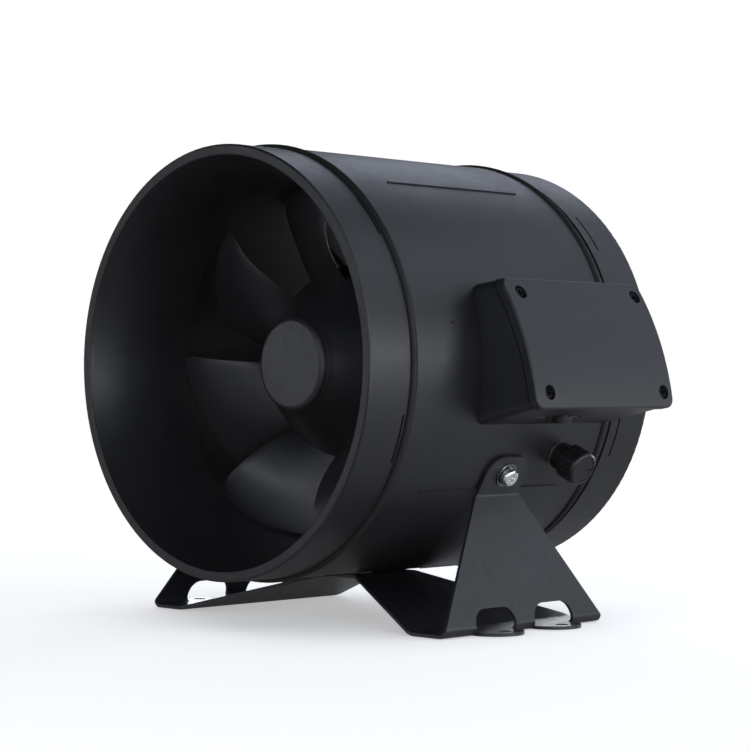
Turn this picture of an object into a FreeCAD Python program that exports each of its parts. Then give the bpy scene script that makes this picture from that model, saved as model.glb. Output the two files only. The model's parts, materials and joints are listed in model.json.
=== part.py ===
import FreeCAD, Part
import os
import math

os.makedirs("parts", exist_ok=True)
V = FreeCAD.Vector

# Inline duct fan, 200 mm duct. Row frame: X to the terminal box, Y with the
# airflow (the inlet faces -Y), Z up, origin on the floor plane at the centre
# of the foot bolt pattern. All sizes in millimetres.

# ------------------------------------------------------------ main sizes
AXIS_H = 120.5          # duct axis above the floor
DUCT_Y = -3.0           # middle of the fan's length, from the bracket's middle
HALF_L = 95.0           # half of the overall length
SPIGOT_R = 99.0         # outside radius of both spigots
MOUTH_R = 94.0          # inside radius at the lips
THROAT_R = 83.2         # inside radius of the bellmouth throat
THROAT_Y = 43.0         # the throat's distance from mid-length
CASING_R = 99.6         # outside radius of the centre casing
CASING_BORE = 97.4
CASING_Y0, CASING_Y1 = -67.2, 62.4
RING_R = 100.8          # crest of the seal rings
RING_W = 3.3
RELIEF_Y = 69.6
SHROUD_R = 83.4         # bore round the impeller
SHROUD_OUT = 85.6
TIP_R = 82.2            # blade tip radius
BLADES = 7
HUB_R = 50.0
VANES = 9
RIB_H = 0.5

COVER_R = 128.1         # radius of the curved cover
COVER_CX, COVER_CZ = 5.6, -36.0
COVER_T = 4.4
COVER_Y0, COVER_Y1 = -26.7, 69.2
COVER_Z0, COVER_Z1 = -20.3, 37.2
DRAW = 20.0             # direction of the cover screws above the horizontal

KNOB_PHI, KNOB_Y = -24.5, 34.6
TAB_PHI = -30.0
SHEET = 1.5             # bracket sheet
TAB_R = 101.4           # outer face of the bracket's tabs, from the duct axis
FOOT_X = 101.0          # outer face of the legs at the floor
FOOT_IN = 79.5          # inner edge of the floor strips
LEG_HALF = 53.0         # half length of the feet
TAB_HALF = 13.7
HOLE_X, HOLE_Y, HOLE_R = 104.4, 19.6, 3.0
WIN_HALF, WIN_H = 13.2, 9.9
TAB_TIP = 13.2          # radius of the folded foot lugs
BY = 3.0                # bracket's middle in the duct's own coordinates


# ------------------------------------------------------------ helpers
def rev(items, a=360.0):
    """Revolve a closed (r, y) outline about the duct axis. An item of three
    pairs is an arc from the last point through the first pair to the second."""
    def p(q):
        return V(q[0], q[1], 0)
    edges = []
    first = items[0]
    last = first
    for it in items[1:]:
        if isinstance(it[0], tuple):
            edges.append(Part.Arc(p(last), p(it[0]), p(it[1])).toShape())
            last = it[1]
        else:
            edges.append(Part.LineSegment(p(last), p(it)).toShape())
            last = it
    if (p(last) - p(first)).Length > 1e-6:
        edges.append(Part.LineSegment(p(last), p(first)).toShape())
    f = Part.Face(Part.Wire(edges))
    s = f.revolve(V(0, 0, 0), V(0, 1, 0), a)
    return s


def poly_face(pts):
    return Part.Face(Part.makePolygon(list(pts) + [pts[0]]))


def xz_prism(pts, y0, y1):
    """Prism along Y of an outline in X and Z; items may be arcs as in rev."""
    def p(q):
        return V(q[0], y0, q[1])
    edges = []
    first = pts[0]
    last = first
    for it in pts[1:]:
        if isinstance(it[0], tuple):
            edges.append(Part.Arc(p(last), p(it[0]), p(it[1])).toShape())
            last = it[1]
        else:
            edges.append(Part.LineSegment(p(last), p(it)).toShape())
            last = it
    if (p(last) - p(first)).Length > 1e-6:
        edges.append(Part.LineSegment(p(last), p(first)).toShape())
    return Part.Face(Part.Wire(edges)).extrude(V(0, y1 - y0, 0))


def cyl(base, d, r, h):
    return Part.makeCylinder(r, h, base, d)


def radial(phi):
    a = math.radians(phi)
    return V(math.cos(a), 0, math.sin(a))


def spun(shape, phi):
    """Copy turned about the duct axis; phi runs from +X towards +Z."""
    s = shape.copy()
    s.rotate(V(0, 0, 0), V(0, 1, 0), -phi)
    return s


def hexagon(base, d, af, h):
    d = V(d.x, d.y, d.z)
    d.normalize()
    ref = V(0, 1, 0) if abs(d.y) < 0.9 else V(1, 0, 0)
    u = d.cross(ref)
    u.normalize()
    w = d.cross(u)
    r = af / math.sqrt(3.0)
    pts = []
    for k in range(6):
        a = math.radians(60 * k)
        pts.append(base + u * (r * math.cos(a)) + w * (r * math.sin(a)))
    return poly_face(pts).extrude(d * h)


def one(shape):
    s = shape.removeSplitter()
    return s


def fused(base, others):
    s = base.fuse(list(others)) if others else base
    return one(s)


PLACE = V(0, DUCT_Y, AXIS_H)
DONE = []


def save(name, shapes, row=False):
    """Write one node; shapes is a solid or a list of separate solids."""
    if not isinstance(shapes, (list, tuple)):
        shapes = [shapes]
    solids = []
    for s in shapes:
        c = s.copy()
        if not row:
            c.translate(PLACE)
        if not c.Solids:
            raise RuntimeError(name + " has no solid")
        solids.extend(c.Solids)
    out = solids[0] if len(solids) == 1 else Part.makeCompound(solids)
    out.exportStep("parts/%s.step" % name)
    DONE.append(name)
    print("%-24s solids %d valid %s volume %.0f" % (
        name, len(solids), out.isValid(), out.Volume))


# ------------------------------------------------------------ spigots
def arc_mid(r0, y0, r1, y1, t=0.5):
    """Point of an arc that leaves (r1, y1) along the axis and reaches
    (r0, y0), at a share t of its length in y."""
    dy = abs(y0 - y1)
    dr = r0 - r1
    rho = (dr * dr + dy * dy) / (2 * dr)
    yy = dy * (1 - t)
    return r1 + rho - math.sqrt(rho * rho - yy * yy), y1 + (y0 - y1) * (1 - t)


def spigot(sign, ring_in, throat_r, throat_y):
    """sign -1 is the inlet. ring_in is where the seal ring's groove ends."""
    e = sign * HALF_L
    g0 = ring_in + sign * RING_W
    tail = ring_in - sign * 7.0
    ty = sign * throat_y
    mr, my = arc_mid(MOUTH_R, e, throat_r, ty)
    mo, moy = arc_mid(MOUTH_R + 2.1, e - sign * 2.4, throat_r + 2.2, ty)
    pts = [
        (MOUTH_R + 0.8, e),
        (SPIGOT_R - 0.9, e),
        ((SPIGOT_R - 0.26, e - sign * 0.26), (SPIGOT_R, e - sign * 0.9)),
        (SPIGOT_R, g0),
        (CASING_BORE - 0.1, g0),
        (CASING_BORE - 0.1, tail),
        (CASING_BORE - 2.3, tail),
        (CASING_BORE - 2.3, g0 + sign * 2.0),
        (SPIGOT_R - 2.3, g0 + sign * 4.0),
        (SPIGOT_R - 2.3, e - sign * 2.6),
        (MOUTH_R + 2.15, e - sign * 2.6),
        ((mo, moy), (throat_r + 2.2, ty)),
        (throat_r, ty),
        ((mr, my), (MOUTH_R, e - sign * 0.8)),
        ((MOUTH_R + 0.24, e - sign * 0.24), (MOUTH_R + 0.8, e)),
    ]
    whole = rev(pts)
    # the inner flare is a piece of its own, let into the back of the lip
    m = MOUTH_R + 2.16
    q = rev([(0, e - sign * 2.6), (m, e - sign * 2.6), (m - 3.6, e - sign * 20.0), (m - 3.6, ty - sign), (0, ty - sign)])
    return one(whole.cut(q)), one(whole.common(q))


def arc_groove(r, y, phi0, phi1, w, deep):
    s = rev([(r - deep, y - w / 2), (r + 1, y - w / 2), (r + 1, y + w / 2), (r - deep, y + w / 2)], phi1 - phi0)
    # the outline starts in the XY plane at phi 0 and sweeps towards -phi
    return spun(s, phi1)


inlet, bellmouth = spigot(-1, CASING_Y0, THROAT_R, THROAT_Y)
outlet, diffuser = spigot(1, CASING_Y1, SHROUD_R, 50.0)
cuts_in = [arc_groove(SPIGOT_R, -72.4, c - 6.3, c + 6.3, 1.0, 0.9) for c in [40.4 + 60 * k for k in range(6)]]
cuts_out = [arc_groove(SPIGOT_R, 75.4, c - 6.4, c + 6.4, 1.0, 0.9) for c in [40.0 + 60 * k for k in range(6)]]
inlet = one(inlet.cut(cuts_in))
# a shallow relief beside the rear ring, as long as the terminal box overhangs
cuts_out.append(rev([(SPIGOT_R - 0.7, CASING_Y1 + RING_W - 0.5), (SPIGOT_R + 1.0, CASING_Y1 + RING_W - 0.5),
                     (SPIGOT_R + 1.0, RELIEF_Y), (SPIGOT_R - 0.7, RELIEF_Y)]))
outlet = one(outlet.cut(cuts_out))
save("inlet_spigot", inlet)
save("outlet_spigot", outlet)
save("inlet_bellmouth", bellmouth)
save("outlet_diffuser", diffuser)


# ------------------------------------------------------------ seal rings
def ring(y0):
    y1 = y0 + RING_W
    ym = (y0 + y1) / 2
    return rev([(CASING_BORE, y0 + 0.05), (SPIGOT_R + 0.3, y0 + 0.05),
                ((RING_R, ym), (SPIGOT_R + 0.3, y1 - 0.05)),
                (CASING_BORE, y1 - 0.05)])


save("front_seal_ring", ring(CASING_Y0 - RING_W))
save("rear_seal_ring", ring(CASING_Y1))

# ------------------------------------------------------------ centre casing
casing = rev([(CASING_BORE, CASING_Y0), (CASING_R - 0.5, CASING_Y0), (CASING_R, CASING_Y0 + 0.5),
              (CASING_R, CASING_Y1 - 0.5), (CASING_R - 0.5, CASING_Y1), (CASING_BORE, CASING_Y1)])


def rib(phi, y0, y1):
    b = Part.makeBox(RIB_H + 1.0, y1 - y0, 0.9, V(CASING_R - 1.0, y0, -0.45))
    return spun(b, phi)


adds = []
for k in range(8):
    phi = 10 + 45 * k
    if k == 0:
        adds.append(rib(phi, -44.0, COVER_Y0 - 2.0))
    elif k == 7 or k == 5:
        adds.append(rib(phi, -47.5, BY - TAB_HALF - 1.5))
        adds.append(rib(phi, BY + TAB_HALF + 1.5, 44.5))
    elif k == 6:
        adds.append(rib(phi, -44.0, BY - TAB_HALF - 3.0))
        adds.append(rib(phi, BY + TAB_HALF + 3.0, 44.0))
    else:
        adds.append(rib(phi, -42.5, 44.0))
tab_dirs = (TAB_PHI, 180 - TAB_PHI)
for phi in tab_dirs:
    adds.append(cyl(radial(phi) * 89.0 + V(0, BY, 0), radial(phi), 7.0, 8.9))
casing = fused(casing, adds)
cuts = []
for phi in tab_dirs:
    cuts.append(cyl(radial(phi) * 87.0 + V(0, BY, 0), radial(phi), 4.0, 16.0))
# wiring hole under the terminal box and the control's hole
cuts.append(Part.makeBox(14.0, 16.0, 12.0, V(92.0, 36.0, -6.0)))
cuts.append(cyl(radial(KNOB_PHI) * 90.0 + V(0, KNOB_Y, 0), radial(KNOB_PHI), 3.6, 14.0))
casing = one(casing.cut(cuts))
save("centre_casing", casing)

# ------------------------------------------------------------ shroud and guide vanes
shroud = rev([(SHROUD_R, -42.7), (SHROUD_OUT, -42.7), (SHROUD_OUT, 24.0), (SHROUD_R, 24.0)])
save("impeller_shroud", shroud)
web = rev([(SHROUD_OUT, 0.0), (97.2, 0.0), (97.2, 2.5), (SHROUD_OUT, 2.5)])
webs = []
for y in (-20.0, 45.6):
    w = web.copy()
    w.translate(V(0, y, 0))
    webs.append(w)
save("support_webs", webs)

cup = rev([(8.2, 32.1), (47.8, 32.1), (47.8, 15.2), (HUB_R, 15.2), (HUB_R, 62.0), (47.8, 62.0), (47.8, 35.1), (8.2, 35.1)])
outer = rev([(SHROUD_R, 24.3), (SHROUD_OUT, 24.3), (SHROUD_OUT, 49.7), (SHROUD_R, 49.7)])


def vane():
    # curved blade outline in the plane across the radius: u is tangential
    def c(t):
        return -11.0 * (1 - t) ** 1.8, 27.0 + 21.5 * t
    up, dn = [], []
    n = 8
    for i in range(n + 1):
        t = i / n
        u, y = c(t)
        u2, y2 = c(min(1.0, t + 0.01))
        u1, y1 = c(max(0.0, t - 0.01))
        du, dy = u2 - u1, y2 - y1
        ln = math.hypot(du, dy)
        th = 0.55 + 0.65 * math.sqrt(max(0.0, 4 * t * (1 - t)))
        up.append((u - dy / ln * th, y + du / ln * th))
        dn.append((u + dy / ln * th, y - du / ln * th))
    x0, x1 = 49.0, 84.4
    pu = [V(x0, y, u) for u, y in up]
    pd = [V(x0, y, u) for u, y in dn]
    b1 = Part.BSplineCurve()
    b1.interpolate(pu)
    b2 = Part.BSplineCurve()
    b2.interpolate(list(reversed(pd)))
    w = Part.Wire([b1.toShape(), Part.LineSegment(pu[-1], pd[-1]).toShape(), b2.toShape(),
                   Part.LineSegment(pd[0], pu[0]).toShape()])
    s = Part.Face(w).extrude(V(x1 - x0, 0, 0))
    lim = rev([(HUB_R, 20.0), (SHROUD_R, 20.0), (SHROUD_R, 52.0), (HUB_R, 52.0)])
    return s.common(lim)


v0 = vane()
vanes = [spun(v0, 20 + 360.0 / VANES * k) for k in range(VANES)]
guide_cuts = [cyl(radial(45 + 90 * k) * 36.0 + V(0, 30, 0), V(0, 1, 0), 2.1, 8.0) for k in range(4)]
guide_cuts.append(cyl(radial(0) * 26.0 + V(0, 30, 0), V(0, 1, 0), 4.0, 8.0))
save("stator_housing", one(cup.cut(guide_cuts)))
save("stator_ring", outer)
save("guide_vanes", vanes)

tail = rev([(45.7, 54.0), (47.7, 54.0), (47.7, 62.2), (HUB_R, 62.2), ((45.0, 76.2), (31.0, 83.2)),
            (28.0, 83.8), (0.0, 83.8), (0.0, 81.8), (27.6, 81.8), (30.2, 81.3), ((43.4, 74.8), (47.3, 64.2)),
            (45.7, 64.2)])
save("tail_cone", tail)

# ------------------------------------------------------------ motor
base = rev([(7.5, -2.0), (9.5, -2.0), (9.5, 28.0), (42.0, 28.0), (42.0, 32.0), (7.5, 32.0), (7.5, 23.0), (6.0, 23.0),
            (6.0, 4.0), (7.5, 4.0)])
base = base.cut([cyl(radial(45 + 90 * k) * 36.0 + V(0, 26, 0), V(0, 1, 0), 2.0, 8.0) for k in range(4)]
                + [cyl(radial(0) * 26.0 + V(0, 26, 0), V(0, 1, 0), 4.0, 8.0)])
save("motor_base", base)


def bearing(y0):
    return rev([(4.03, y0), (5.2, y0), (5.4, y0 + 0.5), (6.2, y0 + 0.5), (6.4, y0), (7.5, y0), (7.5, y0 + 6.0),
                (6.4, y0 + 6.0), (6.2, y0 + 5.5), (5.4, y0 + 5.5), (5.2, y0 + 6.0), (4.03, y0 + 6.0)])


save("front_bearing", bearing(-2.0))
save("rear_bearing", bearing(23.0))

core = rev([(9.55, 0.0), (15.0, 0.0), (15.0, 16.0), (9.55, 16.0)])
teeth = []
for k in range(12):
    stem = Part.makeBox(14.0, 16.0, 3.4, V(14.6, 0, -1.7))
    teeth.append(spun(stem, 30 * k))
    shoe = rev([(28.2, 0.0), (30.4, 0.0), (30.4, 16.0), (28.2, 16.0)], 24.0)
    teeth.append(spun(shoe, 30 * k + 12.0))
core = fused(core, teeth)
save("motor_stator_core", core)

coils = []
for k in range(12):
    blk = Part.makeBox(10.6, 21.6, 7.4, V(17.2, -2.8, -3.7))
    blk = blk.makeFillet(1.4, [e for e in blk.Edges if abs(e.tangentAt(e.FirstParameter).x) > 0.9])
    hole = Part.makeBox(20.0, 16.1, 3.5, V(12.0, -0.05, -1.75))
    wedge = poly_face([V(0, -4, 0), V(40, -4, 40 * math.tan(math.radians(14.2))),
                       V(40, -4, -40 * math.tan(math.radians(14.2)))]).extrude(V(0, 26, 0))
    c = blk.cut(hole).common(wedge)
    coils.append(spun(c, 30 * k))
save("motor_windings", coils)

board = rev([(10.2, 26.3), (33.0, 26.3), (33.0, 28.0), (10.2, 28.0)])
chips = [Part.makeBox(6, 1.6, 5, V(20, 24.8, -2.5)), spun(Part.makeBox(5, 1.8, 8, V(19, 24.6, -4)), 100),
         spun(Part.makeBox(7, 2.2, 4, V(18, 24.2, -2)), 200), spun(cyl(V(24, 22.4, 0), V(0, 1, 0), 2.5, 4.0), 300)]
board = fused(board, chips)
board = one(board.cut(cyl(radial(0) * 26.0 + V(0, 22, 0), V(0, 1, 0), 3.0, 8.0)))
save("motor_board", board)

can = rev([(4.0, -8.8), (36.0, -8.8), (36.0, 22.0), (34.0, 22.0), (34.0, -6.8), (7.0, -6.8), (7.0, -4.0), (4.0, -4.0)])
can = can.cut([cyl(radial(60 * k) * 20.0 + V(0, -10, 0), V(0, 1, 0), 4.2, 4.0) for k in range(6)])
save("rotor_can", can)

mag = rev([(31.2, -3.0), (34.0, -3.0), (34.0, 19.0), (31.2, 19.0)], 33.0)
save("rotor_magnets", [spun(mag, 36 * k + 16.5) for k in range(10)])

shaft = rev([(0, -42.4), (3.4, -42.4), (4.0, -41.8), (4.0, 29.2), (3.4, 29.2), (3.4, 30.0), (4.0, 30.0), (4.0, 30.7),
             (3.6, 31.1), (0, 31.1)])
save("motor_shaft", shaft)
clip = rev([(3.45, 29.25), (5.6, 29.25), (5.6, 29.95), (3.45, 29.95)], 300.0)
save("shaft_circlip", clip)

screws = []
for k in range(4):
    b = radial(45 + 90 * k) * 36.0
    head = cyl(b + V(0, 35.1, 0), V(0, 1, 0), 3.6, 2.6)
    head = head.makeFillet(0.9, [e for e in head.Edges if abs(e.BoundBox.YMax - 37.7) < 1e-3 and abs(e.BoundBox.YMin - 37.7) < 1e-3])
    rec = [Part.makeBox(4.0, 3.0, 0.9, V(b.x - 2.0, 36.4, b.z - 0.45)), Part.makeBox(0.9, 3.0, 4.0, V(b.x - 0.45, 36.4, b.z - 2.0))]
    head = head.cut(rec)
    screws.append(one(head.fuse(cyl(b + V(0, 28.4, 0), V(0, 1, 0), 1.95, 6.8))))
save("motor_screws", screws)

# ------------------------------------------------------------ impeller
hub = rev([(4.0, -34.0), (16.0, -34.0), (16.0, -45.2), (24.25, -45.2), (43.0, -21.0), ((48.3, -8.0), (HUB_R, 6.0)),
           (HUB_R, 14.0), (47.5, 14.0), (47.5, 6.0), ((45.8, -7.0), (41.0, -19.5)), (32.4, -31.0), (12.0, -31.0),
           (12.0, -9.0), (4.0, -9.0)])
hollow = rev([(0, -45.2), (16.0, -45.2), (16.0, -34.0), (12.0, -31.0), (32.4, -31.0), (41.0, -19.5),
              ((45.8, -7.0), (47.5, 6.0)), (47.5, 16.0), (0, 16.0)])


def blade_le(r):
    t = (r / 0.99 - 60.0) / 30.0
    y = (-42.06 - 17.71 * t + 18.3 * t * t) * 0.99
    phi = 177.78 - 1.59 * t + 0.63 * t * t
    if r > 73.0:
        k = (r - 73.0) / 9.2
        phi += 1.2 * k * k * k
    return phi, y


def blade_te(r):
    phi = 222.6 - 0.16 * (r - 43.6)
    y = -13.9 - 0.23 * (r - 43.6)
    if r > 73.0:
        k = (r - 73.0) / 9.2
        phi -= 0.5 * k * k * k
    return phi, y


def blade_point(r, s):
    p0, y0 = blade_le(r)
    p1, y1 = blade_te(r)
    return p0 + (p1 - p0) * s, y0 + (y1 - y0) * s - 10.4 * s * (1 - s)


BLADE_MID = 199.0


def section(d, thick):
    """Closed outline in the plane at distance d from the duct axis, facing
    the blade's middle: coordinates (u tangential, y axial)."""
    def q(s):
        r = d
        for _ in range(30):
            phi, y = blade_point(min(r, 96.0), s)
            r = d / math.cos(math.radians(phi - BLADE_MID))
        phi, y = blade_point(min(r, 96.0), s)
        return r * math.sin(math.radians(phi - BLADE_MID)), y
    n = 8
    up, dn = [], []
    for i in range(n + 1):
        s = 0.5 - 0.5 * math.cos(math.pi * i / n)
        u, y = q(s)
        a = q(max(0.0, s - 0.01))
        b = q(min(1.0, s + 0.01))
        du, dy = b[0] - a[0], b[1] - a[1]
        ln = math.hypot(du, dy)
        th = 0.5 * thick * (0.38 + 0.62 * math.sqrt(max(0.0, 4 * s * (1 - s))) * (1.15 - 0.3 * s))
        up.append((u - dy / ln * th, y + du / ln * th))
        dn.append((u + dy / ln * th, y - du / ln * th))

    def cap(i, sgn):
        u = (up[i][0] + dn[i][0]) / 2
        y = (up[i][1] + dn[i][1]) / 2
        a = q(0.0 if sgn < 0 else 0.99)
        b = q(0.01 if sgn < 0 else 1.0)
        du, dy = b[0] - a[0], b[1] - a[1]
        ln = math.hypot(du, dy)
        th = 0.5 * thick * 0.38
        return u + sgn * du / ln * th, y + sgn * dy / ln * th
    def w(p):
        return V(d, p[1], p[0])
    b1 = Part.BSplineCurve()
    b1.interpolate([w(p) for p in up])
    b2 = Part.BSplineCurve()
    b2.interpolate([w(p) for p in reversed(dn)])
    te = Part.Arc(w(up[-1]), w(cap(-1, 1)), w(dn[-1]))
    le = Part.Arc(w(dn[0]), w(cap(0, -1)), w(up[0]))
    return Part.Wire([b1.toShape(), te.toShape(), b2.toShape(), le.toShape()])


secs = [section(d, th) for d, th in ((35.0, 3.6), (44.0, 3.3), (53.0, 3.0), (62.0, 2.7), (70.0, 2.4), (77.0, 2.2), (84.0, 2.0))]
raw = Part.makeLoft(secs, True, False)
raw = spun(raw, BLADE_MID)
lim = rev([(30.0, -60.0), (TIP_R, -60.0), (TIP_R, 12.0), (30.0, 12.0)])
blade = raw.common(lim).cut([hub, hollow])
blade = max(blade.Solids, key=lambda s: s.Volume)
print("blade valid", blade.isValid(), blade.Volume, blade.BoundBox)
blades = [spun(blade, 360.0 / BLADES * k) for k in range(BLADES)]
save("impeller_hub", hub)
save("impeller_blades", blades)

cap = rev([(0, -49.8), (19.8, -49.8), ((21.6, -49.0), (22.6, -47.6)), (24.2, -45.3), (15.9, -45.3), (15.9, -43.0), (0, -43.0)])
save("nose_cap", cap)
nutw = rev([(4.05, -35.0), (8.0, -35.0), (8.0, -34.0), (4.05, -34.0)])
save("impeller_washer", nutw)
nut = hexagon(V(0, -41.4, 0), V(0, 1, 0), 13.0, 6.4).cut(cyl(V(0, -43, 0), V(0, 1, 0), 4.0, 10.0))
save("impeller_nut", nut)

# ------------------------------------------------------------ terminal box
def on_cover(z, r=COVER_R):
    return COVER_CX + math.sqrt(r * r - (z - COVER_CZ) ** 2)


def slab(r, z0, z1, x_in0, x_in1, y0, y1, zin0, zin1):
    """Prism between the casing side and the curved face of radius r."""
    zm = (z0 + z1) / 2
    return xz_prism([(x_in0, zin0), (on_cover(z0, r), z0), ((on_cover(zm, r), zm), (on_cover(z1, r), z1)),
                     (x_in1, zin1)], y0, y1)


def x_edges(shape, tol=0.5):
    """Edges that run roughly along X and lie on the outline's corners."""
    b = shape.BoundBox
    out = []
    for e in shape.Edges:
        v = e.Vertexes
        if len(v) != 2:
            continue
        d = v[1].Point - v[0].Point
        if abs(d.x) > 5.0 and abs(d.y) < 1e-3 and abs(d.z) < 0.5 * abs(d.x):
            out.append(e)
    return out


BODY_IN = COVER_T + 1.0
body = slab(COVER_R - BODY_IN, -20.6, 36.4, 84.0, 84.0, COVER_Y0 + 0.5, COVER_Y1 - 0.5, -30.2, 33.6)
body = body.makeFillet(4.4, x_edges(body))
inner = slab(COVER_R - BODY_IN + 4.0, -18.0, 34.0, 84.0, 84.0, COVER_Y0 + 3.0, COVER_Y1 - 3.0, -27.6, 31.0)
inner = inner.makeFillet(2.2, x_edges(inner))
inner = inner.cut(cyl(V(0, -60, 0), V(0, 1, 0), CASING_R + 2.75, 140.0))
box = body.cut(inner)
axis = V(math.cos(math.radians(DRAW)), 0, math.sin(math.radians(DRAW)))
spots = []
for z in (31.1, -13.1):
    for y in (COVER_Y0 + 9.5, COVER_Y1 - 6.6):
        spots.append(V(on_cover(z), y, z))
posts = []
for p in spots:
    c = cyl(p - axis * (BODY_IN + 13.5), axis, 3.6, 20.0)
    posts.append(c.common(body))
    yw = COVER_Y0 + 0.8 if p.y < 20 else COVER_Y1 - 0.8
    w = Part.makeBox(18.0, abs(p.y - yw), 2.4, V(0, min(p.y, yw), -1.2))
    w.rotate(V(0, 0, 0), V(0, 1, 0), -DRAW)
    w.translate(V(p.x - axis.x * (BODY_IN + 13.5), 0, p.z - axis.z * (BODY_IN + 13.5)))
    posts.append(w.common(body))
box = fused(box, posts)
box = box.cut(cyl(V(0, -60, 0), V(0, 1, 0), CASING_R + 0.15, 140.0))
# four posts carry the speed board; wiring hole in the floor
pads = [cyl(V(100.5, y, z), V(1, 0, 0), 2.2, 6.4) for y in (32.0, 58.0) for z in (-12.0, 14.0)]
box = fused(box, [p.cut(cyl(V(0, -60, 0), V(0, 1, 0), CASING_R + 1.5, 140.0)) for p in pads])
GROM_X, GROM_Y = 110.9, 14.9
BOT_Z = -30.2 + (GROM_X - 84.0) * (30.2 - 20.6) / (on_cover(-20.6, COVER_R - BODY_IN) - 84.0)
box_cuts = [cyl(p - axis * (BODY_IN + 11.0), axis, 1.5, 24.0) for p in spots]
# room for the crest of the rear seal ring
box_cuts.append(rev([(90.0, CASING_Y1 - 0.3), (RING_R + 0.25, CASING_Y1 - 0.3), (RING_R + 0.25, CASING_Y1 + RING_W + 0.3),
                     (90.0, CASING_Y1 + RING_W + 0.3)]))
box_cuts.append(cyl(V(GROM_X, GROM_Y, -34.0), V(0, 0, 1), 3.3, 16.0))
box_cuts.append(Part.makeBox(8.0, 16.0, 12.0, V(97.0, 36.0, -6.0)))
for y in (1.6, 25.0):
    box_cuts.append(Part.makeBox(2.6, 7.0, 12.0, V(GROM_X - 1.3, y - 3.5, -32.0)))
box = one(box.cut(box_cuts))
print("box solids", len(box.Solids))
box = max(box.Solids, key=lambda s: s.Volume)
save("terminal_box", box)

gas = slab(COVER_R - COVER_T - 0.05, -20.6, 36.4, 84.0, 84.0, COVER_Y0 + 0.9, COVER_Y1 - 0.9, -30.2, 33.6)
gas = gas.makeFillet(4.2, x_edges(gas))
gas = gas.cut(cyl(V(COVER_CX, -60, COVER_CZ), V(0, 1, 0), COVER_R - BODY_IN + 0.05, 140.0))
gas = gas.cut(slab(COVER_R + 4.0, -16.3, 33.2, 84.0, 84.0, COVER_Y0 + 4.4, COVER_Y1 - 4.4, -26.8, 30.2))
ears = []
full = slab(COVER_R - COVER_T - 0.05, -20.6, 36.4, 84.0, 84.0, COVER_Y0 + 0.9, COVER_Y1 - 0.9, -30.2, 33.6).cut(
    cyl(V(COVER_CX, -60, COVER_CZ), V(0, 1, 0), COVER_R - BODY_IN + 0.05, 140.0))
for p in spots:
    ears.append(cyl(p - axis * 9.0, axis, 3.6, 9.0).common(full))
gas = fused(gas, ears).cut([cyl(p - axis * 12.0, axis, 1.7, 16.0) for p in spots])
save("cover_gasket", one(gas))

cov = slab(COVER_R, COVER_Z0, COVER_Z1, 84.0, 84.0, COVER_Y0, COVER_Y1, COVER_Z0 - 9.0, COVER_Z1 - 2.0)
cov = cov.makeFillet(4.6, x_edges(cov))
cov = cov.cut(cyl(V(COVER_CX, -60, COVER_CZ), V(0, 1, 0), COVER_R - COVER_T, 140.0))
cov = max(cov.Solids, key=lambda s: s.Volume)
rim = []
for f in cov.Faces:
    if isinstance(f.Surface, Part.Cylinder) and abs(f.Surface.Radius - COVER_R) < 1e-3:
        rim = list(f.OuterWire.Edges)
try:
    c2 = cov.makeFillet(0.9, rim)
    if c2.isValid() and c2.Solids:
        cov = c2
except Exception as exc:
    print("cover rim left sharp", exc)
rec = []
for p in spots:
    rec.append(cyl(p - axis * 2.7, axis, 3.3, 9.0))
    rec.append(cyl(p - axis * 12.0, axis, 1.75, 16.0))
cov = one(cov.cut(rec))
save("terminal_cover", cov)


def pan(base, d, rh, hh, rs, ls, cross=True):
    """Cross-recess screw: base is the seat of the head, d points outwards."""
    h = cyl(base, d, rh, hh)
    top = base + d * hh
    es = [e for e in h.Edges if e.Curve.TypeId == "Part::GeomCircle" and (e.Curve.Center - top).Length < 1e-3]
    h = h.makeFillet(min(hh * 0.62, rh * 0.45), es)
    if cross:
        ref = V(0, 1, 0)
        u = d.cross(ref)
        u.normalize()
        w = d.cross(u)
        k = rh * 0.52
        t = rh * 0.13
        for a, b in ((u, w), (w, u)):
            bar = poly_face([top - a * k - b * t, top + a * k - b * t, top + a * k + b * t, top - a * k + b * t])
            bar.translate(d * (-hh * 0.55))
            h = h.cut(bar.extrude(d * (hh + 1.0)))
    s = cyl(base - d * ls, d, rs, ls + hh * 0.3)
    return one(h.fuse(s))


save("cover_screws", [pan(p - axis * 2.7, axis, 2.9, 1.9, 1.45, 13.0) for p in spots])

# grommet of the cable entry under the box
gr = cyl(V(GROM_X, GROM_Y, BOT_Z - 3.0), V(0, 0, 1), 4.3, 3.0)
gr = gr.fuse([cyl(V(GROM_X, GROM_Y, BOT_Z - 1.2), V(0, 0, 1), 3.25, 5.4),
              cyl(V(GROM_X, GROM_Y, BOT_Z + 3.4), V(0, 0, 1), 4.2, 1.6)])
below = xz_prism([(84.0, -30.2), (on_cover(-20.6, COVER_R - BODY_IN), -20.6), (140.0, -45.0), (84.0, -45.0)], -20, 60)
keep = gr.common(below).fuse([cyl(V(GROM_X, GROM_Y, BOT_Z - 1.2), V(0, 0, 1), 3.25, 5.4),
                              cyl(V(GROM_X, GROM_Y, BOT_Z + 3.4), V(0, 0, 1), 4.2, 1.6)])
gr = one(keep).cut(cyl(V(GROM_X, GROM_Y, -40), V(0, 0, 1), 2.1, 40))
gr = max(gr.Solids, key=lambda s: s.Volume)
save("cable_grommet", gr)

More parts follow.
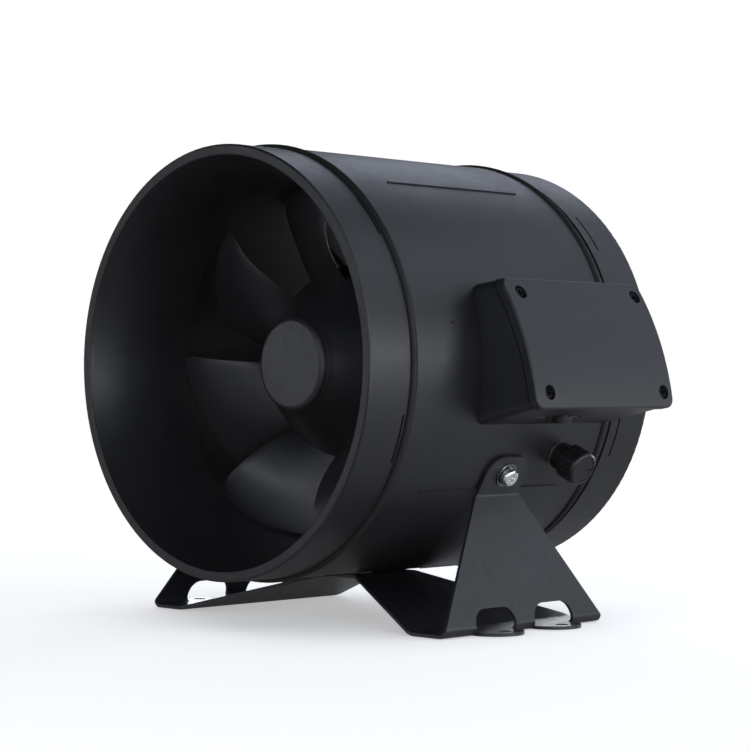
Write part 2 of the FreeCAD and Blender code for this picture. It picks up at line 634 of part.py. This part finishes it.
# terminal block, its screws, the speed board and its capacitor
tb = Part.makeBox(10.0, 27.0, 12.0, V(102.6, 1.0, 2.0))
tb = tb.cut([Part.makeBox(4.0, 6.6, 7.0, V(109.6, 2.0 + 8.8 * k, 1.5)) for k in range(3)]
            + [cyl(V(106.0, 5.2 + 8.8 * k, 1.0), V(0, 0, 1), 1.9, 14.0) for k in range(3)]
            + [cyl(V(105.0, 5.2 + 8.8 * k, 11.0), V(1, 0, 0), 2.2, 10.0) for k in range(3)])
save("terminal_block", one(tb))
save("terminal_screws", [pan(V(109.2, 5.2 + 8.8 * k, 11.0), V(1, 0, 0), 2.0, 1.2, 1.2, 3.0) for k in range(3)])
pcb = Part.makeBox(1.6, 31.0, 31.0, V(107.0, 29.5, -14.5)).cut(
    [cyl(V(106, y, z), V(1, 0, 0), 1.1, 4.0) for y in (32.0, 58.0) for z in (-12.0, 14.0)])
chipz = [Part.makeBox(5.0, 9.0, 4.0, V(108.5, 46.0, 6.0)), Part.makeBox(2.0, 6.0, 8.0, V(108.5, 50.0, -9.0)),
         Part.makeBox(6.0, 10.0, 8.0, V(108.5, 34.0, 3.0))]
save("speed_board", fused(pcb, chipz))
capa = cyl(V(112.7, 34.0, -5.0), V(0, 1, 0), 4.0, 13.0)
capa = capa.makeFillet(0.8, [e for e in capa.Edges if e.Curve.TypeId == "Part::GeomCircle"])
save("run_capacitor", capa)

# ------------------------------------------------------------ speed control
kd = radial(KNOB_PHI)
kb = V(0, KNOB_Y, 0)


def turned(items, d, b):
    """Revolve a closed (r, h) outline about an axis through b along d; h is
    measured from the duct axis."""
    u = V(0, 1, 0)
    def p(q):
        return b + d * q[1] + u * q[0]
    edges = []
    first = items[0]
    last = first
    for it in items[1:]:
        if isinstance(it[0], tuple):
            edges.append(Part.Arc(p(last), p(it[0]), p(it[1])).toShape())
            last = it[1]
        else:
            edges.append(Part.LineSegment(p(last), p(it)).toShape())
            last = it
    edges.append(Part.LineSegment(p(last), p(first)).toShape())
    return Part.Face(Part.Wire(edges)).revolve(b, d, 360)


pot = turned([(2.95, 88.6), (8.0, 88.6), (8.0, 96.2), (3.5, 96.2), (3.5, 104.6), (2.95, 104.6)], kd, kb)
save("control_body", pot)
potnut = hexagon(kb + kd * 99.85, kd, 10.0, 2.0).cut(cyl(kb + kd * 98, kd, 3.55, 6.0))
save("control_nut", potnut)
spindle = turned([(0, 89.4), (2.9, 89.4), (2.9, 115.0), (2.4, 115.6), (0, 115.6)], kd, kb)
save("control_spindle", spindle)
knob = turned([(2.9, 105.0), (3.8, 105.0), (3.8, 102.2), (6.6, 102.2), (6.6, 107.6), (8.3, 108.2), (8.3, 116.0),
               ((7.9, 117.3), (7.1, 118.0)), (6.3, 118.0), (6.1, 117.7), (0, 117.7), (0, 115.6), (2.9, 115.6)], kd, kb)
un = kd.cross(V(0, 1, 0))
flutes = []
for k in range(16):
    a = math.radians(360.0 / 16 * k + 11.25)
    c = kb + kd * 107.0 + (V(0, 1, 0) * math.cos(a) + un * math.sin(a)) * 8.95
    flutes.append(cyl(c, kd, 1.05, 9.6))
knob = knob.cut(flutes)
mark = poly_face([kb + kd * 117.3 + V(0, 1.5, 0) + un * 0.45, kb + kd * 117.3 + V(0, 6.4, 0) + un * 0.45,
                  kb + kd * 117.3 + V(0, 6.4, 0) - un * 0.45, kb + kd * 117.3 + V(0, 1.5, 0) - un * 0.45]).extrude(kd * 2.0)
knob = one(knob.cut(mark))
save("speed_knob", knob)

# ------------------------------------------------------------ bracket
# One strip of sheet, drawn as its outer line in X and Z and thickened inwards.
def offset_polyline(pts, t):
    out = []
    n = len(pts)
    for i in range(n):
        if i == 0:
            d = (pts[1][0] - pts[0][0], pts[1][1] - pts[0][1])
            ln = math.hypot(*d)
            out.append((pts[0][0] - d[1] / ln * t, pts[0][1] + d[0] / ln * t))
        elif i == n - 1:
            d = (pts[-1][0] - pts[-2][0], pts[-1][1] - pts[-2][1])
            ln = math.hypot(*d)
            out.append((pts[-1][0] - d[1] / ln * t, pts[-1][1] + d[0] / ln * t))
        else:
            a = (pts[i][0] - pts[i - 1][0], pts[i][1] - pts[i - 1][1])
            b = (pts[i + 1][0] - pts[i][0], pts[i + 1][1] - pts[i][1])
            la, lb = math.hypot(*a), math.hypot(*b)
            na = (-a[1] / la, a[0] / la)
            nb = (-b[1] / lb, b[0] / lb)
            m = (na[0] + nb[0], na[1] + nb[1])
            k = t / (1 + na[0] * nb[0] + na[1] * nb[1])
            out.append((pts[i][0] + m[0] * k, pts[i][1] + m[1] * k))
    return out


def rounded(pts, radii):
    """Points and arcs for an open polyline with rounded corners."""
    out = [pts[0]]
    for i in range(1, len(pts) - 1):
        r = radii[i]
        p, a, b = pts[i], pts[i - 1], pts[i + 1]
        u = (a[0] - p[0], a[1] - p[1])
        v = (b[0] - p[0], b[1] - p[1])
        lu, lv = math.hypot(*u), math.hypot(*v)
        u = (u[0] / lu, u[1] / lu)
        v = (v[0] / lv, v[1] / lv)
        cosa = u[0] * v[0] + u[1] * v[1]
        half = math.acos(max(-1, min(1, cosa))) / 2
        d = r / math.tan(half)
        bis = (u[0] + v[0], u[1] + v[1])
        lb = math.hypot(*bis)
        c = (p[0] + bis[0] / lb * r / math.sin(half), p[1] + bis[1] / lb * r / math.sin(half))
        mid = (c[0] - bis[0] / lb * r, c[1] - bis[1] / lb * r)
        p0 = (p[0] + u[0] * d, p[1] + u[1] * d)
        p1 = (p[0] + v[0] * d, p[1] + v[1] * d)
        out.append(p0)
        out.append((mid, p1))
    out.append(pts[-1])
    return out


FZ = -AXIS_H
tc = radial(TAB_PHI) * TAB_R
tdir = V(math.sin(math.radians(-TAB_PHI)), 0, math.cos(math.radians(-TAB_PHI)))
tab_top = (tc.x + tdir.x * 9.2, tc.z + tdir.z * 9.2)
tab_low = (tc.x - tdir.x * 10.6, tc.z - tdir.z * 10.6)
SADDLE_X = 10.0
SADDLE_HALF = 20.5
SADDLE_Z = -(CASING_R + 0.3 + SHEET)
right = [(0.0, SADDLE_Z), (SADDLE_X, SADDLE_Z), (FOOT_IN, FZ), (FOOT_X, FZ), tab_low, tab_top]
left = [(-x, z) for x, z in reversed(right)][:-1]
line = left + right
# walking from the left tab to the right one the metal lies to the left hand
inner_line = offset_polyline(line, SHEET)
rad = {}
n = len(line)
rout, rin = [0] * n, [0] * n
turn_in = 2.0
for i in range(1, n - 1):
    a = (line[i][0] - line[i - 1][0], line[i][1] - line[i - 1][1])
    b = (line[i + 1][0] - line[i][0], line[i + 1][1] - line[i][1])
    left_turn = a[0] * b[1] - a[1] * b[0] > 0
    rout[i] = turn_in + SHEET if left_turn else turn_in
    rin[i] = turn_in if left_turn else turn_in + SHEET
keep_i = [i for i in range(n) if i in (0, n - 1) or abs(line[i][0]) > 1e-6]
ol = [line[i] for i in keep_i]
il = [inner_line[i] for i in keep_i]
ro = [rout[i] for i in keep_i]
ri = [rin[i] for i in keep_i]
outer_path = rounded(ol, ro)
inner_path = rounded(list(reversed(il)), list(reversed(ri)))
strip = xz_prism(outer_path + inner_path, BY - LEG_HALF, BY + LEG_HALF)
print("strip valid", strip.isValid(), strip.Volume)

zt, zl = tab_top[1], tab_low[1]
side_pts = [(-LEG_HALF, FZ - 2), (-LEG_HALF, FZ + 3.0), (-TAB_HALF, zl + 1.0), (-TAB_HALF, zt + 8), (TAB_HALF, zt + 8),
            (TAB_HALF, zl + 1.0), (LEG_HALF, FZ + 3.0), (LEG_HALF, FZ - 2)]
keeps = []
for sgn in (-1, 1):
    x0 = FOOT_IN - 1.0 if sgn > 0 else -(FOOT_IN - 1.0 + 50)
    keeps.append(poly_face([V(x0, BY + y, z) for y, z in side_pts]).extrude(V(50, 0, 0)))
plan_pts = [(0, SADDLE_HALF), (SADDLE_X, SADDLE_HALF), (FOOT_IN - 3.0, LEG_HALF), (FOOT_IN, LEG_HALF)]
full_plan = ([V(x, BY + y, FZ - 3) for x, y in plan_pts] + [V(x, BY - y, FZ - 3) for x, y in reversed(plan_pts)]
             + [V(-x, BY - y, FZ - 3) for x, y in plan_pts[1:]] + [V(-x, BY + y, FZ - 3) for x, y in reversed(plan_pts[1:])])
plan = []
for p in full_plan:
    if not plan or (p - plan[-1]).Length > 1e-6:
        plan.append(p)
keeps.append(poly_face(plan).extrude(V(0, 0, 30)))
shape = keeps[0].fuse(keeps[1:])
bracket = one(strip.common(shape))
print("bracket trimmed", bracket.isValid(), len(bracket.Solids), bracket.Volume)

# windows in the legs, and the lugs folded out of them onto the floor
wins, lugs, holes = [], [], []
for sgn in (-1, 1):
    for yc in (-HOLE_Y, HOLE_Y):
        b = Part.makeBox(24.0, 2 * WIN_HALF, WIN_H, V(86.0 if sgn > 0 else -110.0, BY + yc - WIN_HALF, FZ + SHEET + 0.001))
        es = [e for e in b.Edges if abs(e.tangentAt(e.FirstParameter).x) > 0.9 and e.BoundBox.ZMin > FZ + SHEET + 2]
        b = b.makeFillet(7.0, es)
        wins.append(b)
        x_c = sgn * (TAB_TIP + 85.6)
        lug = cyl(V(x_c, BY + yc, FZ), V(0, 0, 1), TAB_TIP - 0.2, SHEET)
        lug = lug.fuse(Part.makeBox(16.0, 2 * (TAB_TIP - 0.2), SHEET, V(x_c - (16.0 if sgn > 0 else 0.0), BY + yc - TAB_TIP + 0.2, FZ)))
        lugs.append(lug)
        holes.append(cyl(V(sgn * HOLE_X, BY + yc, FZ - 1), V(0, 0, 1), HOLE_R, 4.0))
bracket = bracket.cut(wins)
bracket = fused(bracket, lugs)
# clear the curved bend metal that would stand over the lugs
for phi in tab_dirs:
    holes.append(cyl(radial(phi) * 96.0 + V(0, BY, 0), radial(phi), 2.75, 9.0))
bracket = one(bracket.cut(holes))
# round the tabs' top corners and the foot corners
try:
    es = []
    for e in bracket.Edges:
        bb = e.BoundBox
        ln = e.Length
        if abs(ln - SHEET) < 0.02:
            c = e.CenterOfMass
            if c.z > tab_top[1] - 3.0:
                es.append(e)
    b2 = bracket.makeFillet(9.0, es)
    if b2.isValid() and len(b2.Solids) == 1:
        bracket = b2
    else:
        print("tab corners not rounded")
except Exception as exc:
    print("tab corners", exc, len(es))
print("bracket", bracket.isValid(), len(bracket.Solids))
save("mounting_bracket", bracket)

ins, sw, fw, bs = [], [], [], []
for phi in tab_dirs:
    d = radial(phi)
    b = V(0, BY, 0)
    tube = turned([(2.5, 89.2), (4.0, 89.2), (4.0, 99.4), (2.5, 99.4)], d, b)
    ins.append(tube)
    fw.append(turned([(2.7, TAB_R + 0.02), (6.1, TAB_R + 0.02), (6.1, TAB_R + 0.6), (5.9, TAB_R + 0.8), (2.7, TAB_R + 0.8)], d, b))
    sw.append(turned([(2.6, TAB_R + 0.82), (4.9, TAB_R + 0.82), (4.9, TAB_R + 1.6), (2.6, TAB_R + 1.6)], d, b))
    bs.append(pan(b + d * (TAB_R + 1.62), d, 4.5, 2.7, 2.45, 12.4))
save("bracket_inserts", ins)
save("bracket_washers", fw)
save("bracket_spring_washers", sw)
save("bracket_screws", bs)

print(len(DONE), "nodes")
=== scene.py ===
import bpy, bmesh, json, math
from mathutils import Vector, Matrix

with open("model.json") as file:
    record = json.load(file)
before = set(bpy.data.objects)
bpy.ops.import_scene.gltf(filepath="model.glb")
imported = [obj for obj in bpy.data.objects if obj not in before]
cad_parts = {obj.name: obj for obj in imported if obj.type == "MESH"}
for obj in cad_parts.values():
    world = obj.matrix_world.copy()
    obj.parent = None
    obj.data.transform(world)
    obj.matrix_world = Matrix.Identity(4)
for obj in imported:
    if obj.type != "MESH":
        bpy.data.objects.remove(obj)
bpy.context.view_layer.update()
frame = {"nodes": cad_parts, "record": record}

NODES = frame["nodes"]
AXIS_H = 0.1205
DUCT_Y = -0.0030

scene = bpy.context.scene
scene.view_settings.view_transform = "Standard"
scene.view_settings.look = "None"
scene.view_settings.exposure = 0.0
scene.view_settings.gamma = 1.0


# ------------------------------------------------------------ camera
def make_camera():
    az, el = math.radians(45.237), math.radians(-0.311)
    back = Vector((math.sin(az) * math.cos(el), -math.cos(az) * math.cos(el), math.sin(el)))
    right = Vector((math.cos(az), math.sin(az), 0.0))
    up = back.cross(right).normalized()
    cam = bpy.data.cameras.new("camera")
    cam.lens = 104.1
    cam.sensor_width = 36.0
    cam.clip_start = 0.01
    cam.clip_end = 60.0
    o = bpy.data.objects.new("camera", cam)
    scene.collection.objects.link(o)
    m = Matrix((right, up, back)).transposed().to_4x4()
    m.translation = Vector((0.74660, -0.73742, 0.10979))
    o.matrix_world = m
    scene.camera = o


make_camera()


# ------------------------------------------------------------ node helpers
class Mat:
    def __init__(self, name):
        self.m = bpy.data.materials.new(name)
        self.m.use_nodes = True
        self.t = self.m.node_tree
        self.n = self.t.nodes
        self.p = self.n["Principled BSDF"]
        self.x = -300

    def node(self, kind, **kw):
        n = self.n.new(kind)
        self.x -= 40
        n.location = (self.x, 0)
        for k, v in kw.items():
            if hasattr(n, k):
                setattr(n, k, v)
            else:
                n.inputs[k.replace("_", " ")].default_value = v
        return n

    def link(self, a, b):
        self.t.links.new(a, b)

    def coords(self, scale=(1, 1, 1), rot=(0, 0, 0), loc=(0, 0, 0)):
        tc = self.node("ShaderNodeTexCoord")
        mp = self.node("ShaderNodeMapping")
        mp.inputs["Scale"].default_value = scale
        mp.inputs["Rotation"].default_value = rot
        mp.inputs["Location"].default_value = loc
        self.link(tc.outputs["Object"], mp.inputs["Vector"])
        return mp.outputs["Vector"]

    def noise(self, vec, scale, detail=2.0, rough=0.5, dist=0.0):
        n = self.node("ShaderNodeTexNoise")
        n.inputs["Scale"].default_value = scale
        n.inputs["Detail"].default_value = detail
        n.inputs["Roughness"].default_value = rough
        n.inputs["Distortion"].default_value = dist
        self.link(vec, n.inputs["Vector"])
        return n.outputs["Fac"]

    def ramp(self, fac, stops):
        r = self.node("ShaderNodeValToRGB")
        els = r.color_ramp.elements
        while len(els) < len(stops):
            els.new(0.5)
        for e, (pos, col) in zip(els, stops):
            e.position = pos
            if not isinstance(col, (tuple, list)):
                col = (col, col, col, 1)
            e.color = tuple(col) if len(col) == 4 else tuple(col) + (1,)
        self.link(fac, r.inputs["Fac"])
        return r.outputs["Color"]

    def rng(self, fac, a, b, lo=0.0, hi=1.0):
        r = self.node("ShaderNodeMapRange")
        r.inputs["From Min"].default_value = lo
        r.inputs["From Max"].default_value = hi
        r.inputs["To Min"].default_value = a
        r.inputs["To Max"].default_value = b
        self.link(fac, r.inputs["Value"])
        return r.outputs["Result"]

    def mix(self, fac, a, b):
        m = self.node("ShaderNodeMix", data_type="RGBA")
        if hasattr(fac, "links"):
            self.link(fac, m.inputs[0])
        else:
            m.inputs[0].default_value = fac
        for sock, v in ((m.inputs[6], a), (m.inputs[7], b)):
            if hasattr(v, "links"):
                self.link(v, sock)
            else:
                sock.default_value = tuple(v) if len(v) == 4 else tuple(v) + (1,)
        return m.outputs[2]

    def math(self, op, a, b=None):
        m = self.node("ShaderNodeMath", operation=op)
        for i, v in enumerate((a, b)):
            if v is None:
                continue
            if hasattr(v, "links"):
                self.link(v, m.inputs[i])
            else:
                m.inputs[i].default_value = v
        return m.outputs[0]

    def bump(self, height, dist, strength=1.0, normal=None):
        b = self.node("ShaderNodeBump")
        b.inputs["Strength"].default_value = strength
        b.inputs["Distance"].default_value = dist
        self.link(height, b.inputs["Height"])
        if normal is not None:
            self.link(normal, b.inputs["Normal"])
        return b.outputs["Normal"]

    def set(self, color=None, rough=None, normal=None, **kw):
        p = self.p
        for sock, v in (("Base Color", color), ("Roughness", rough), ("Normal", normal)):
            if v is None:
                continue
            if hasattr(v, "links"):
                self.link(v, p.inputs[sock])
            elif sock == "Base Color":
                p.inputs[sock].default_value = tuple(v) + (1,)
            else:
                p.inputs[sock].default_value = v
        for k, v in kw.items():
            p.inputs[k.replace("_", " ")].default_value = v
        return self.m


def plastic(name, base, rough=0.48, grain=2600.0, depth=0.00003, vary=0.12, spec=0.5, coat=0.0, streak=0.0):
    """Moulded plastic: spark-eroded grain and faint gloss mottling."""
    m = Mat(name)
    v = m.coords()
    big = m.noise(v, 22.0, 3.0, 0.55, 0.4)
    fine = m.noise(v, grain, 2.0, 0.6)
    mid = m.noise(v, 260.0, 4.0, 0.6)
    dark = tuple(c * (1 - vary) for c in base)
    light = tuple(c * (1 + vary) for c in base)
    col = m.ramp(big, [(0.3, dark), (0.7, light)])
    speck = m.rng(m.noise(v, 1400.0, 1.0), 0.0, 1.0, 0.70, 0.78)
    col = m.mix(m.math("MULTIPLY", speck, 0.25), col, tuple(c * 1.7 + 0.006 for c in base))
    r = m.math("ADD", m.rng(big, rough - 0.035, rough + 0.035, 0.3, 0.7), m.rng(mid, -0.03, 0.03, 0.3, 0.7))
    h = m.math("ADD", m.math("MULTIPLY", fine, 1.0), m.math("MULTIPLY", mid, 0.55))
    nrm = m.bump(h, depth, 0.9)
    return m.set(col, r, nrm, Specular_IOR_Level=spec, Coat_Weight=coat)


def rubber(name, base):
    m = Mat(name)
    v = m.coords()
    a = m.noise(v, 900.0, 3.0, 0.6)
    b = m.noise(v, 60.0, 3.0, 0.6)
    col = m.ramp(b, [(0.3, tuple(c * 0.75 for c in base)), (0.75, tuple(c * 1.35 for c in base))])
    r = m.rng(b, 0.55, 0.78, 0.3, 0.7)
    return m.set(col, r, m.bump(a, 0.00004, 0.8), Specular_IOR_Level=0.4)


def powder(name, base, rough=0.40):
    """Powder-coated sheet: fine orange peel over a slightly mottled coat."""
    m = Mat(name)
    v = m.coords()
    peel = m.noise(v, 1250.0, 2.0, 0.5)
    wave = m.noise(v, 240.0, 2.0, 0.5)
    big = m.noise(v, 18.0, 3.0, 0.5)
    col = m.ramp(big, [(0.3, tuple(c * 0.9 for c in base)), (0.7, tuple(c * 1.12 for c in base))])
    speck = m.rng(m.noise(v, 2100.0, 0.0), 0.0, 1.0, 0.72, 0.8)
    col = m.mix(m.math("MULTIPLY", speck, 0.3), col, tuple(c * 2.2 + 0.01 for c in base))
    r = m.rng(wave, rough - 0.05, rough + 0.06, 0.3, 0.7)
    h = m.math("ADD", peel, m.math("MULTIPLY", wave, 0.8))
    return m.set(col, r, m.bump(h, 0.00002, 0.7), Specular_IOR_Level=0.5)


def metal(name, base, rough=0.25, brush=(1, 1, 1), scale=900.0, depth=0.00001, aniso=0.0):
    m = Mat(name)
    v = m.coords(scale=brush)
    a = m.noise(v, scale, 3.0, 0.6)
    b = m.noise(m.coords(), 70.0, 3.0, 0.6)
    col = m.ramp(b, [(0.3, tuple(c * 0.86 for c in base)), (0.7, tuple(min(1, c * 1.08) for c in base))])
    r = m.math("ADD", m.rng(a, rough - 0.06, rough + 0.08, 0.3, 0.7), m.rng(b, -0.04, 0.05, 0.3, 0.7))
    return m.set(col, r, m.bump(a, depth, 0.7), Metallic=1.0, Anisotropic=aniso)


def board(name):
    """Solder mask with copper tracks just showing through."""
    m = Mat(name)
    v = m.coords()
    w = m.node("ShaderNodeTexBrick")
    w.inputs["Scale"].default_value = 260.0
    w.inputs["Mortar Size"].default_value = 0.03
    w.inputs["Color1"].default_value = (0.012, 0.10, 0.04, 1)
    w.inputs["Color2"].default_value = (0.016, 0.12, 0.05, 1)
    w.inputs["Mortar"].default_value = (0.05, 0.22, 0.10, 1)
    m.link(v, w.inputs["Vector"])
    n = m.noise(v, 500.0, 2.0)
    return m.set(w.outputs["Color"], m.rng(n, 0.2, 0.38, 0.3, 0.7), m.bump(w.outputs["Fac"], 0.00003, 0.5))


def winding(name):
    m = Mat(name)
    v = m.coords()
    w = m.node("ShaderNodeTexWave", bands_direction="Y")
    w.inputs["Scale"].default_value = 420.0
    w.inputs["Distortion"].default_value = 1.2
    w.inputs["Detail"].default_value = 2.0
    m.link(v, w.inputs["Vector"])
    col = m.ramp(w.outputs["Fac"], [(0.1, (0.22, 0.07, 0.02)), (0.7, (0.72, 0.32, 0.12))])
    return m.set(col, m.rng(w.outputs["Fac"], 0.42, 0.26), m.bump(w.outputs["Fac"], 0.0001, 0.8), Metallic=0.9)


def layered(name, base):
    """Stacked laminations: thin lines across Y."""
    m = Mat(name)
    v = m.coords()
    w = m.node("ShaderNodeTexWave", bands_direction="Y")
    w.inputs["Scale"].default_value = 320.0
    m.link(v, w.inputs["Vector"])
    col = m.ramp(w.outputs["Fac"], [(0.2, tuple(c * 0.5 for c in base)), (0.6, base)])
    return m.set(col, 0.4, m.bump(w.outputs["Fac"], 0.00005, 0.6), Metallic=1.0)


CAS = (0.0115, 0.0116, 0.0122)
MATS = {
    "casing_plastic": plastic("casing_plastic", CAS, 0.42),
    "inner_plastic": plastic("inner_plastic", (0.007, 0.007, 0.0073), 0.45),
    "impeller_plastic": plastic("impeller_plastic", (0.018, 0.018, 0.0183), 0.38, grain=1800.0),
    "box_plastic": plastic("box_plastic", (0.0165, 0.0168, 0.0195), 0.46),
    "knob_plastic": plastic("knob_plastic", (0.007, 0.007, 0.0073), 0.44),
    "seal_rubber": rubber("seal_rubber", (0.010, 0.010, 0.0105)),
    "bracket_coat": powder("bracket_coat", (0.0185, 0.0192, 0.0212)),
    "chrome_screw": metal("chrome_screw", (0.93, 0.93, 0.94), 0.24, scale=600.0),
    "black_screw": metal("black_screw", (0.013, 0.013, 0.014), 0.4),
    "zinc_steel": metal("zinc_steel", (0.62, 0.63, 0.63), 0.3),
    "spring_steel": metal("spring_steel", (0.20, 0.20, 0.205), 0.24),
    "bearing_steel": metal("bearing_steel", (0.66, 0.67, 0.68), 0.2, brush=(1, 12, 1)),
    "lamination_steel": layered("lamination_steel", (0.36, 0.36, 0.37)),
    "cast_aluminium": metal("cast_aluminium", (0.62, 0.63, 0.65), 0.42, scale=500.0, depth=0.00004),
    "copper_winding": winding("copper_winding"),
    "magnet_grey": metal("magnet_grey", (0.18, 0.18, 0.19), 0.5, scale=700.0),
    "insert_brass": metal("insert_brass", (0.78, 0.56, 0.24), 0.3),
    "circuit_board": board("circuit_board"),
    "block_plastic": plastic("block_plastic", (0.62, 0.61, 0.56), 0.42, depth=0.00002, vary=0.05),
    "capacitor_film": plastic("capacitor_film", (0.05, 0.06, 0.12), 0.3, depth=0.00001),
}


def paint_nodes():
    slots = {s["node"]: s["material_slot"] for s in frame["record"]["subparts"]}
    for name, obj in NODES.items():
        mat = MATS[slots[name]]
        if not obj.material_slots:
            obj.data.materials.append(mat)
        for sl in obj.material_slots:
            sl.material = mat


paint_nodes()


# ------------------------------------------------------------ studio
# radiance of the soft panels that ring the object, by azimuth: low at the
# horizon, just above it, and high behind the object
LOW = {20: 4.2, 40: 2.2, 60: 6.5, 80: 5.4, 100: 4.9, 120: 13.5, 180: 11.0, 200: 4.0, 220: 6.0, 240: 11.0, 260: 2.0, 320: 3.5}
MID = {0: 3.8, 80: 2.8, 160: 1.5, 240: 3.9}
HIGH = {30: 0.75, 120: 1.16, 150: 1.05, 180: 0.8, 210: 1.6}


def panel(az, el, w, h, radiance, name, tint):
    li = bpy.data.lights.new(name, "AREA")
    li.color = tint
    li.shape = "RECTANGLE"
    li.size = w
    li.size_y = h
    li.energy = math.pi * w * h * radiance
    o = bpy.data.objects.new(name, li)
    scene.collection.objects.link(o)
    a, e = math.radians(az), math.radians(el)
    d = Vector((math.sin(a) * math.cos(e), -math.cos(a) * math.cos(e), math.sin(e)))
    o.location = d * 3.0 + Vector((0, 0, 0.12))
    o.rotation_euler = d.to_track_quat("Z", "Y").to_euler()
    o.visible_camera = False


def studio():
    for az, v in LOW.items():
        panel(az, 4.5, 1.05, 0.45, v, "low_%03d" % az, (0.95, 0.985, 1.05))
    for az, v in MID.items():
        panel(az, 15, 1.05, 0.65, v, "mid_%03d" % az, (0.87, 0.955, 1.15))
    for az, v in HIGH.items():
        panel(az, 35, 1.25, 1.1, v, "high_%03d" % az, (0.87, 0.955, 1.15))

    # floor: to the camera pale near the object and white further out, to
    # every other ray a light floor that bounces the panels up
    me = bpy.data.meshes.new("floor")
    s = 12.0
    me.from_pydata([(-s, -s, 0), (s, -s, 0), (s, s, 0), (-s, s, 0)], [], [(0, 1, 2, 3)])
    o = bpy.data.objects.new("floor", me)
    o.location = (0, 0, -0.0002)
    scene.collection.objects.link(o)
    m = bpy.data.materials.new("floor")
    m.use_nodes = True
    t = m.node_tree
    for n in list(t.nodes):
        t.nodes.remove(n)
    out = t.nodes.new("ShaderNodeOutputMaterial")
    lp = t.nodes.new("ShaderNodeLightPath")
    mix = t.nodes.new("ShaderNodeMixShader")
    low = t.nodes.new("ShaderNodeBsdfPrincipled")
    low.inputs["Base Color"].default_value = (0.82, 0.80, 0.77, 1)
    low.inputs["Roughness"].default_value = 0.5
    glow = t.nodes.new("ShaderNodeEmission")
    glow.inputs["Color"].default_value = (1.0, 0.98, 0.95, 1)
    glow.inputs["Strength"].default_value = FLOOR_GLOW
    add0 = t.nodes.new("ShaderNodeAddShader")
    t.links.new(low.outputs[0], add0.inputs[0])
    t.links.new(glow.outputs[0], add0.inputs[1])
    # near: lit floor plus a glow that an ambient-occlusion mask darkens around the object, a painted contact
    # shadow; far: even white
    tc = t.nodes.new("ShaderNodeTexCoord")
    ln = t.nodes.new("ShaderNodeVectorMath")
    ln.operation = "LENGTH"
    mr = t.nodes.new("ShaderNodeMapRange")
    mr.interpolation_type = "SMOOTHSTEP"
    mr.inputs["From Min"].default_value = 0.30
    mr.inputs["From Max"].default_value = 0.95
    t.links.new(tc.outputs["Object"], ln.inputs[0])
    t.links.new(ln.outputs["Value"], mr.inputs["Value"])
    add = t.nodes.new("ShaderNodeAddShader")
    di = t.nodes.new("ShaderNodeBsdfDiffuse")
    em = t.nodes.new("ShaderNodeEmission")
    far = t.nodes.new("ShaderNodeEmission")
    di.inputs["Color"].default_value = (FLOOR_A, FLOOR_A, FLOOR_A, 1)
    em.inputs["Color"].default_value = (1, 1, 1, 1)
    # painted contact shadow: ambient occlusion lowers the near floor's glow under and around the object
    ao = t.nodes.new("ShaderNodeAmbientOcclusion")
    ao.inputs["Distance"].default_value = 0.08
    painted_contact_shadow = t.nodes.new("ShaderNodeMapRange")
    painted_contact_shadow.inputs["From Min"].default_value = 0.15
    painted_contact_shadow.inputs["From Max"].default_value = 1.0
    painted_contact_shadow.inputs["To Min"].default_value = FLOOR_E * 0.58
    painted_contact_shadow.inputs["To Max"].default_value = FLOOR_E
    t.links.new(ao.outputs["AO"], painted_contact_shadow.inputs["Value"])
    t.links.new(painted_contact_shadow.outputs["Result"], em.inputs["Strength"])
    far.inputs["Color"].default_value = (1, 1, 1, 1)
    far.inputs["Strength"].default_value = 1.02
    t.links.new(di.outputs[0], add.inputs[0])
    t.links.new(em.outputs[0], add.inputs[1])
    fade = t.nodes.new("ShaderNodeMixShader")
    t.links.new(mr.outputs["Result"], fade.inputs[0])
    t.links.new(add.outputs[0], fade.inputs[1])
    t.links.new(far.outputs[0], fade.inputs[2])
    t.links.new(lp.outputs["Is Camera Ray"], mix.inputs[0])
    t.links.new(add0.outputs[0], mix.inputs[1])
    t.links.new(fade.outputs[0], mix.inputs[2])
    t.links.new(mix.outputs[0], out.inputs[0])
    me.materials.append(m)

    w = bpy.data.worlds.new("studio")
    scene.world = w
    w.use_nodes = True
    t = w.node_tree
    for n in list(t.nodes):
        t.nodes.remove(n)
    out = t.nodes.new("ShaderNodeOutputWorld")
    bg = t.nodes.new("ShaderNodeBackground")
    bg.inputs["Color"].default_value = (1, 1, 1, 1)
    bg.inputs["Strength"].default_value = 0.03
    cam_bg = t.nodes.new("ShaderNodeBackground")
    cam_bg.inputs["Color"].default_value = (1, 1, 1, 1)
    cam_bg.inputs["Strength"].default_value = 1.02
    lp = t.nodes.new("ShaderNodeLightPath")
    mix = t.nodes.new("ShaderNodeMixShader")
    t.links.new(lp.outputs["Is Camera Ray"], mix.inputs[0])
    t.links.new(bg.outputs[0], mix.inputs[1])
    t.links.new(cam_bg.outputs[0], mix.inputs[2])
    t.links.new(mix.outputs[0], out.inputs[0])


FLOOR_A, FLOOR_E, FLOOR_GLOW = 0.90, 0.68, 0.05
studio()
